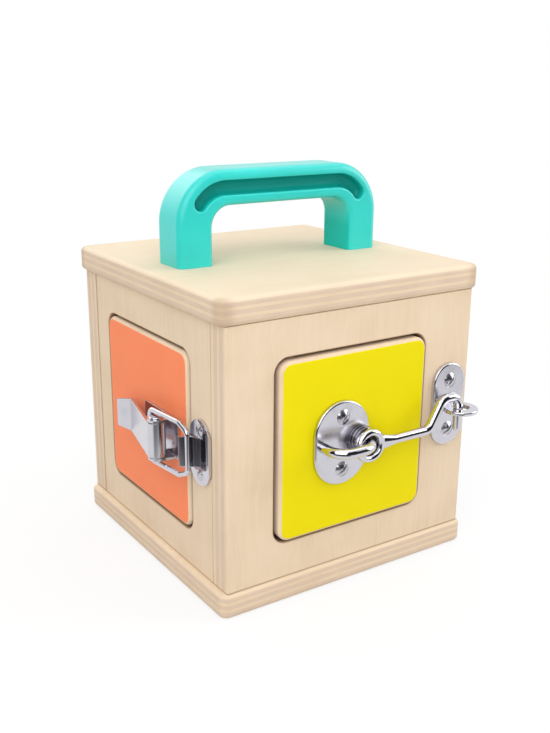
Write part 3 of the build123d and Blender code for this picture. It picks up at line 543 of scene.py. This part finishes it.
def mark_panel(finish, wood, low, high, axis, window):
    """Paint shade at a side panel's joints with its neighbours and along every panel's foot, and scorch
    every panel's window edge.
    """
    if axis == x_axis:
        # Painted shade in the joints with the neighbouring panels
        front = finish.step(finish.parts[y_axis] - low.y * metre, *front_joint_shade)
        back = finish.step(high.y * metre - finish.parts[y_axis], *back_joint_shade)
        wood = finish.mix((1 - front * back) * joint_shade_strength, wood, joint_shade_brown)
    centre, half = window
    aside = finish.vector("ABSOLUTE", finish.vector("SUBTRACT", finish.place, tuple(centre * metre)))
    straight = half * metre - Vector((1.0, 1.0, 1.0)) * window_round * metre
    beyond = finish.vector("MAXIMUM", finish.vector("SUBTRACT", aside, tuple(straight)), (0.0, 0.0, 0.0))
    reach = finish.number("LENGTH", beyond) - window_round * metre
    scorch = 1 - finish.step(reach, *scorch_reach)
    wood = finish.mix(scorch * scorch_strength, wood, scorch_brown)
    # Painted shade along the foot
    foot_shade = 1 - finish.step(finish.parts[z_axis] - low.z * metre, *foot_shade_line)
    return finish.mix(foot_shade * foot_shade_strength, wood, joint_shade_brown)


def paint_door(finish, wood, roughness, relief, low, high, side):
    """Paint on the flat of a door's outer face, thinning out where the rounded edge begins."""
    face = (high if side.outward > 0 else low)[side.axis] * metre
    drop = (face - finish.parts[side.axis]) * side.outward
    ragged = finish.swing(paint_ragged_size, paint_ragged, detail=2.0)
    bare = finish.step(drop + ragged, *paint_edge)
    shade = tuple(paint_shade * part for part in side.paint)
    coat = finish.mix(finish.noise(finish.place, paint_cloud_size), shade, side.paint)
    uneven = finish.noise(finish.place, paint_roughness_size, detail=2.0)
    painted = paint_roughness + paint_roughness_spread * uneven
    peel = finish.noise(finish.place, peel_size, detail=2.0)
    return finish.surface(
        Base_Color=finish.mix(bare, coat, wood),
        Roughness=roughness * bare + painted * (1 - bare),
        Specular_IOR_Level=paint_specular,
        Normal=finish.bump(peel, peel_depth, peel_strength, Normal=relief),
    )


def plywood(node, thickness_axis, grain_axis, plies, window=None, painted_side=None):
    """Birch plywood for one piece: plies across its thickness, and grain along its faces."""
    finish = Finish(f"birch_{node}")
    low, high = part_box(node)
    middle = (low + high)[thickness_axis] / 2 * metre
    ply = (high - low)[thickness_axis] * metre / plies
    (cross_axis,) = {x_axis, y_axis, z_axis} - {thickness_axis, grain_axis}
    across, glue = ply_layers(finish, thickness_axis, middle, ply, (plies - 1) / 2)

    # Markings along the grain, shifted so that no two pieces look alike
    shifted = finish.vector("ADD", finish.place, tuple(middle * share for share in grain_shift))
    grain = wavy_grain(finish, shifted, across, grain_axis, cross_axis)
    streaks = finish.noise(grain, streak_size, detail=5.0, roughness=0.62)
    fibres = finish.noise(grain, fibre_size, roughness=0.6)
    clouds = finish.noise(shifted, cloud_size, detail=2.0)
    pores = finish.step(finish.noise(grain, pore_size, detail=2.0, roughness=0.45), *pore_edge)

    # Colour of the wood, darker in the plies whose grain runs across
    tone = streaks * streak_share + clouds * cloud_share + fibres * fibre_share
    wood = finish.ramp(tone, *birch_tones)
    band = across * (band_least + band_spread * finish.noise(shifted, band_size))
    wood = finish.mix(band, wood, finish.mix(fibres, end_grain_dark, end_grain_pale))
    wood = finish.mix(glue * glue_strength, wood, glue_brown)
    wood = finish.mix(pores * pore_strength, wood, pore_brown)
    if node == "top_board":
        wood = lid_sheen_and_corners(finish, wood, low, high)
    if window:
        wood = mark_panel(finish, wood, low, high, thickness_axis, window)

    roughness = wood_roughness + wood_roughness_spread * (1 - streaks)
    height = streaks * streak_height + fibres * fibre_height - pores * pore_depth
    relief = finish.bump(height, wood_relief, wood_relief_strength)
    if painted_side:
        return paint_door(finish, wood, roughness, relief, low, high, painted_side)
    return finish.surface(
        Base_Color=wood,
        Roughness=roughness,
        Specular_IOR_Level=wood_specular,
        Normal=relief,
    )


def moulded_teal():
    """Satin moulded plastic, with painted shade in the grooves and between the feet, where it also has no
    gloss.
    """
    finish = Finish("teal_moulding")
    low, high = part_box("handle")
    across, forth, height = finish.parts

    # Grooves follow the handle's bends at a fixed drop below its outer side
    beyond = (abs(across) - (high.x - handle_bend) * metre).at_least(0.0)
    rise = height - (high.z - handle_bend) * metre
    reach = (beyond * beyond + rise * rise).root()
    beside = abs(reach - (handle_bend - groove_drop) * metre)
    sunk = finish.step(high.y * metre - abs(forth), *groove_depth)
    groove = sunk * (1 - finish.step(beside, *groove_side)) * finish.step(rise, *groove_end)

    # Inner faces of the feet, up to the arch, where shade is painted
    inside = 1 - finish.step(abs(across) - (high.x - handle_foot) * metre, *foot_face)
    inside = inside * (1 - finish.step(height - (low.z + handle_arch) * metre, *foot_fade))

    cloud = finish.noise(finish.place, teal_cloud_size)
    colour = finish.ramp(cloud, *teal_tones)
    # Painted shade: darker teal in the grooves
    colour = finish.mix(groove * groove_shade_strength, colour, teal_groove_shade)
    # Painted shade: darker teal on the inner faces of the feet
    colour = finish.mix(inside * inside_shade_strength, colour, teal_inside_shade)
    grain = finish.noise(finish.place, mould_grain_size, detail=2.0)
    edges = finish.soft_edges(mould_edge)
    return finish.surface(
        Base_Color=colour,
        Roughness=teal_roughness + teal_roughness_spread * cloud,
        Specular_IOR_Level=teal_specular,
        Coat_Weight=(1 - groove) * (1 - inside),
        Coat_Roughness=teal_gloss_roughness,
        Normal=finish.bump(grain, mould_grain_depth, mould_grain_strength, Normal=edges),
    )


def shade_tongue(finish, colour, strike):
    """Paint shade inside a strike's tongue."""
    low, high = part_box(strike)
    aside = abs(finish.parts[z_axis] - (low + high).z / 2 * metre)
    # Painted shade inside the tongue
    tongue_shade = 1 - finish.step(aside, *tongue_side)
    tongue_shade = tongue_shade * finish.step(finish.parts[y_axis] - low.y * metre, *tongue_rim)
    return finish.mix(tongue_shade * tongue_shade_strength, colour, tongue_shade_grey)


def plated(name, strike=None):
    """Plated metal with faint smudges, fine scratches and softened edges, and on a strike painted shade
    inside its tongue.
    """
    metal = metals[name]
    finish = Finish(name)
    smudge = finish.noise(finish.place, smudge_size, detail=4.0, roughness=0.6)
    smudge = finish.step(smudge, *smudge_edge)
    drawn = finish.vector("MULTIPLY", finish.place, scratch_stretch)
    scratch = finish.step(finish.noise(drawn, scratch_size, detail=2.0), *scratch_edge)
    dull = tuple(smudge_shade * part for part in metal.colour)
    colour = finish.mix(smudge * smudge_strength, metal.colour, dull)
    if strike:
        colour = shade_tongue(finish, colour, strike)
    wave = finish.noise(finish.place, plating_wave_size, detail=2.0)
    edges = finish.soft_edges(metal.edge)
    return finish.surface(
        Base_Color=colour,
        Roughness=metal.clean + smudge * (metal.smudged - metal.clean) + scratch * scratch_roughness,
        Metallic=1.0,
        Normal=finish.bump(wave, plating_wave_depth, plating_wave_strength, Normal=edges),
    )


def beech():
    """Turned beech of the dowels, with short dark flecks."""
    finish = Finish("beech_turning")
    drawn = finish.vector("MULTIPLY", finish.place, fleck_stretch)
    fleck = finish.step(finish.noise(drawn, fleck_size, detail=2.0), *fleck_edge)
    colour = finish.mix(fleck * fleck_strength, beech_pale, beech_dark)
    return finish.surface(Base_Color=colour, Roughness=beech_roughness + beech_roughness_spread * fleck)


def window_place(name):
    """Centre and half size of the window round a door, which hangs on its left edge seen from outside."""
    side = sides[name]
    low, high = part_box(f"{name}_door")
    low = low - Vector((door_gap, door_gap, door_gap))
    high = high + Vector((door_gap, door_gap, door_gap))
    flat = 1 - side.axis
    hangs_low = (side.outward > 0) == (side.axis == x_axis)
    if hangs_low:
        low[flat] -= hinge_gap - door_gap
    else:
        high[flat] += hinge_gap - door_gap
    half = (high - low) / 2
    half[side.axis] = window_depth
    return (low + high) / 2, half


def dress(finish, *names):
    """Put one finish on CAD nodes."""
    for name in names:
        for slot in nodes[name].material_slots:
            slot.material = finish


def dress_wood():
    """Boards, panels and doors, each with a pattern of its own, and the dowels."""
    for board in ("base_board", "top_board"):
        dress(plywood(board, z_axis, x_axis, board_plies), board)
    for name, side in sides.items():
        panel = f"{name}_panel"
        door = f"{name}_door"
        dress(plywood(panel, side.axis, z_axis, panel_plies, window=window_place(name)), panel)
        dress(plywood(door, side.axis, z_axis, panel_plies, painted_side=side), door)
    dress(beech(), "dowels")


def dress_metal():
    """Plain steel inside the box, and on the latches polished wire and satin sheet."""
    steel_names = ["handle_washers", "handle_screws", "hasp_pin"]
    steel_names += [f"{name}_hinge_pins" for name in sides]
    dress(plated("plain_steel"), *steel_names)
    latches = ("hook", "toggle", "bolt", "hasp", "knob_plate", "turn_knob")
    latch_names = [name for name in nodes if name.startswith(latches) and name not in steel_names]
    dress(plated("polished_chrome"), *latch_names)
    sheet = plated("sheet_chrome")
    dress(sheet, "hook_plate", "hook_keeper_plate", "bolt_plate", "hasp_leaf", "knob_plate")
    dress(sheet, "toggle_base", "toggle_lever")
    # Washers in a chrome darkened as painted shade
    dress(plated("washer_shade_chrome"), "hook_washers")
    # The strike's chrome has painted shade inside its tongue
    dress(plated("tongue_shaded_chrome", strike="toggle_strike"), "toggle_strike")


def screw_inputs(tree):
    """Inputs of the tree, with a value for each size, and its output."""
    face = tree.interface
    face.new_socket("Seats", in_out="INPUT", socket_type="NodeSocketGeometry")
    for name, size in screw_sizes.items():
        face.new_socket(name, in_out="INPUT", socket_type="NodeSocketFloat").default_value = size
    face.new_socket("Heads", in_out="OUTPUT", socket_type="NodeSocketGeometry")


def screw_head(graph, given):
    """One head: a short round skirt whose top is domed, less the slot."""
    radius = given["Head radius"]
    skirt = given["Skirt depth"]
    dome = given["Dome height"]
    form = {
        "Vertices": screw_corners,
        "Side Segments": 1,
        "Fill Segments": screw_rings,
        "Radius": radius,
        "Depth": skirt,
    }
    body = graph.add("GeometryNodeMeshCylinder", {"fill_type": "TRIANGLE_FAN"}, form)
    across, forth, height = graph.axes(graph.add("GeometryNodeInputPosition"))
    reach = (across * across + forth * forth) / (radius * radius)
    rise = (1 - reach) * dome * (height > 0.0) - skirt / 2
    domed = graph.add("GeometryNodeSetPosition", None, {"Geometry": body, "Offset": graph.join(Z=rise)})

    # The slot is cut by a bar whose middle lies on top of the dome
    extent = graph.join(X=radius * slot_run, Y=given["Slot width"], Z=given["Slot depth"] * 2)
    bar = graph.add("GeometryNodeMeshCube", None, {"Size": extent})
    bar = graph.add("GeometryNodeTransform", None, {"Geometry": bar, "Translation": graph.join(Z=dome)})
    cut = {"Mesh 1": domed, "Mesh 2": bar}
    return graph.add("GeometryNodeMeshBoolean", {"operation": "DIFFERENCE"}, cut)


def screw_tree(satin):
    """Geometry nodes that set a head on every seat, facing outward and turned a little differently."""
    tree = bpy.data.node_groups.new("screw_heads", "GeometryNodeTree")
    screw_inputs(tree)
    graph = Graph(tree)
    entry = tree.nodes.new("NodeGroupInput")
    given = {socket.name: Link(graph, socket) for socket in entry.outputs if socket.name}
    head = screw_head(graph, given)
    vectors = {"data_type": "FLOAT_VECTOR"}
    facing = graph.add("GeometryNodeInputNamedAttribute", vectors, {"Name": "facing"})
    size = graph.add("GeometryNodeInputNamedAttribute", vectors, {"Name": "size"})
    least, most, output = random_sockets
    limits = {
        least: given["Turn"] - given["Turn spread"],
        most: given["Turn"] + given["Turn spread"],
        "Seed": screw_seed,
    }
    turn = graph.add("FunctionNodeRandomValue", {"data_type": "FLOAT"}, limits, output)
    turning = {"Rotation": facing, "Rotate By": graph.join(Z=turn)}
    turned = graph.add("FunctionNodeRotateRotation", {"rotation_space": "LOCAL"}, turning)
    setting = {"Points": given["Seats"], "Instance": head, "Rotation": turned, "Scale": size}
    heads = graph.add("GeometryNodeInstanceOnPoints", None, setting)
    real = graph.add("GeometryNodeRealizeInstances", None, {"Geometry": heads})
    done = graph.add("GeometryNodeSetMaterial", None, {"Geometry": real, "Material": satin})
    graph.add("NodeGroupOutput", None, {"Heads": done})
    return tree


def screw_seats(node, side, radius, dome):
    """Places of a group's screws: the corners of its box, drawn in by a head's radius."""
    low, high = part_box(node)
    level = high[side.axis] - dome if side.outward > 0 else low[side.axis] + dome
    flat = 1 - side.axis
    places = set()
    for across in (low[flat] + radius, high[flat] - radius):
        for height in (low.z + radius, high.z - radius):
            place = [0.0, 0.0, height]
            place[side.axis] = level
            place[flat] = across
            places.add(tuple(round(part, seat_digits) for part in place))
    return sorted(places)


def seat_mesh(body, groups):
    """Points for all screws on one body, with the way each head faces and its size."""
    places = []
    facings = []
    sizes = []
    for node, name in groups.items():
        larger = node.startswith("hook")
        radius = hook_screw_radius if larger else screw_radius
        dome = hook_screw_dome if larger else screw_dome
        seats = screw_seats(node, sides[name], radius, dome)
        places += seats
        facings += [(pi / 2, 0.0, sides[name].turn)] * len(seats)
        sizes += [(radius / screw_radius, radius / screw_radius, dome / screw_dome)] * len(seats)
    mesh = bpy.data.meshes.new(f"{body}_screw_seats")
    mesh.from_pydata(places, [], [])
    for name, values in (("facing", facings), ("size", sizes)):
        attribute = mesh.attributes.new(name, "FLOAT_VECTOR", "POINT")
        attribute.data.foreach_set("vector", [part for value in values for part in value])
    return mesh


def add_object(name, data):
    """A new object in the scene."""
    thing = bpy.data.objects.new(name, data)
    bpy.context.scene.collection.objects.link(thing)
    return thing


def screws(body, groups, tree, satin):
    """Screw heads of all groups on one body, as one plain mesh that stands for the CAD ones."""
    seats = add_object(f"{body}_screw_heads", seat_mesh(body, groups))
    modifier = seats.modifiers.new("heads", "NODES")
    modifier.node_group = tree
    bpy.context.view_layer.update()
    shown = seats.evaluated_get(bpy.context.evaluated_depsgraph_get())
    heads = bpy.data.meshes.new_from_object(shown)
    seats.modifiers.remove(modifier)
    seats.data = heads
    heads.materials.clear()
    heads.materials.append(satin)
    heads.shade_smooth()
    heads.set_sharp_from_angle(angle=screw_crease)
    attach(seats, body)
    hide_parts(*groups)


def set_screws():
    """Slotted screw heads on every body that has some."""
    satin = plated("satin_chrome")
    tree = screw_tree(satin)
    for body, groups in screw_groups.items():
        screws(body, groups, tree, satin)


def set_camera():
    """Camera at the photograph's viewing angle."""
    camera = add_object("camera", bpy.data.cameras.new("camera"))
    back = Vector(
        (
            sin(camera_turn) * cos(camera_rise),
            -cos(camera_turn) * cos(camera_rise),
            sin(camera_rise),
        )
    )
    right = Vector((cos(camera_turn), sin(camera_turn), 0.0))
    up = back.cross(right)
    aim = Matrix((right, up, back)).transposed() @ Matrix.Rotation(camera_roll, 3, "Z")
    camera.matrix_world = Matrix.Translation(camera_aim + back * camera_distance) @ aim.to_4x4()
    camera.data.sensor_width = sensor_size
    camera.data.lens = focal_pixels / picture_height * sensor_size
    camera.data.clip_start = camera_clip
    bpy.context.scene.camera = camera


def set_floor():
    """Pale floor that is white away from the shadow, with dark parts that only the metal mirrors."""
    mesh = bpy.data.meshes.new("floor")
    corners = [
        (-floor_reach, -floor_reach, 0.0),
        (floor_reach, -floor_reach, 0.0),
        (floor_reach, floor_reach, 0.0),
        (-floor_reach, floor_reach, 0.0),
    ]
    mesh.from_pydata(corners, [], [(0, 1, 2, 3)])
    floor = add_object("floor", mesh)
    floor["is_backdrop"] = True
    paint = bpy.data.materials.new("pale_floor")
    paint.use_nodes = True
    graph = Graph(paint.node_tree)
    seen = graph.ray_is("Camera")
    mirrored = graph.ray_is("Glossy")
    place = graph.add("ShaderNodeTexCoord", output="Object")
    distance = graph.number("LENGTH", place)
    ahead = graph.number("DOT_PRODUCT", place, camera_side) / distance
    near = graph.step(ahead, *near_floor_ahead) * graph.step(distance, *near_floor_reach)
    far = graph.step(ahead, *dark_ahead) * graph.step(distance, *far_floor_reach)
    bright = 1 - mirrored * near.at_least(far) * dark_depth
    matt = graph.add("ShaderNodeBsdfDiffuse", None, {"Color": floor_grey + floor_lift * seen})
    glow = graph.add("ShaderNodeEmission", None, {"Color": white, "Strength": bright})
    fill = shadow_fill + (1 - shadow_fill) * graph.step(distance, *shadow_zone)
    share = fill * seen.at_least(mirrored)
    mixed = graph.add("ShaderNodeMixShader", None, {0: share, 1: matt, 2: glow})
    graph.add("ShaderNodeOutputMaterial", None, {"Surface": mixed})
    mesh.materials.append(paint)


def set_room():
    """White surroundings, dark in front of the box where the metal mirrors them."""
    world = bpy.data.worlds.new("white_room")
    bpy.context.scene.world = world
    world.use_nodes = True
    graph = Graph(world.node_tree)
    seen = graph.ray_is("Camera")
    mirrored = graph.ray_is("Glossy")
    way = graph.add("ShaderNodeTexCoord", output="Generated")
    ahead = graph.number("DOT_PRODUCT", way, camera_side)
    above = graph.step(graph.axes(way)[z_axis], *dark_wall_top)
    dark = graph.step(ahead, *dark_ahead) * (1 - above) * dark_depth
    strength = seen + mirrored * (room_mirrored - dark) + (1 - mirrored - seen) * room_light
    sky = graph.add("ShaderNodeBackground", None, {"Color": white, "Strength": strength})
    graph.add("ShaderNodeOutputWorld", None, {"Surface": sky})


def set_lamps():
    """Square soft boxes that face the object."""
    for name, lamp in lamps.items():
        light = bpy.data.lights.new(name, "AREA")
        light.size = lamp.width
        light.energy = lamp.power
        soft_box = add_object(name, light)
        soft_box.location = lamp.place
        soft_box.rotation_euler = (Vector(lamp.place) - lamp_aim).to_track_quat("Z", "Y").to_euler()


def write_sizes():
    """Measure the CAD model's box and the dressed model's box."""
    low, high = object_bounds()
    boxes = {"cad": [list(cad_low), list(cad_high)], "visual": [list(low), list(high)]}


dress_wood()
dress(moulded_teal(), "handle")
dress_metal()
set_screws()
set_camera()
set_floor()
set_room()
set_lamps()
bpy.context.scene.view_settings.view_transform = "Standard"
write_sizes()
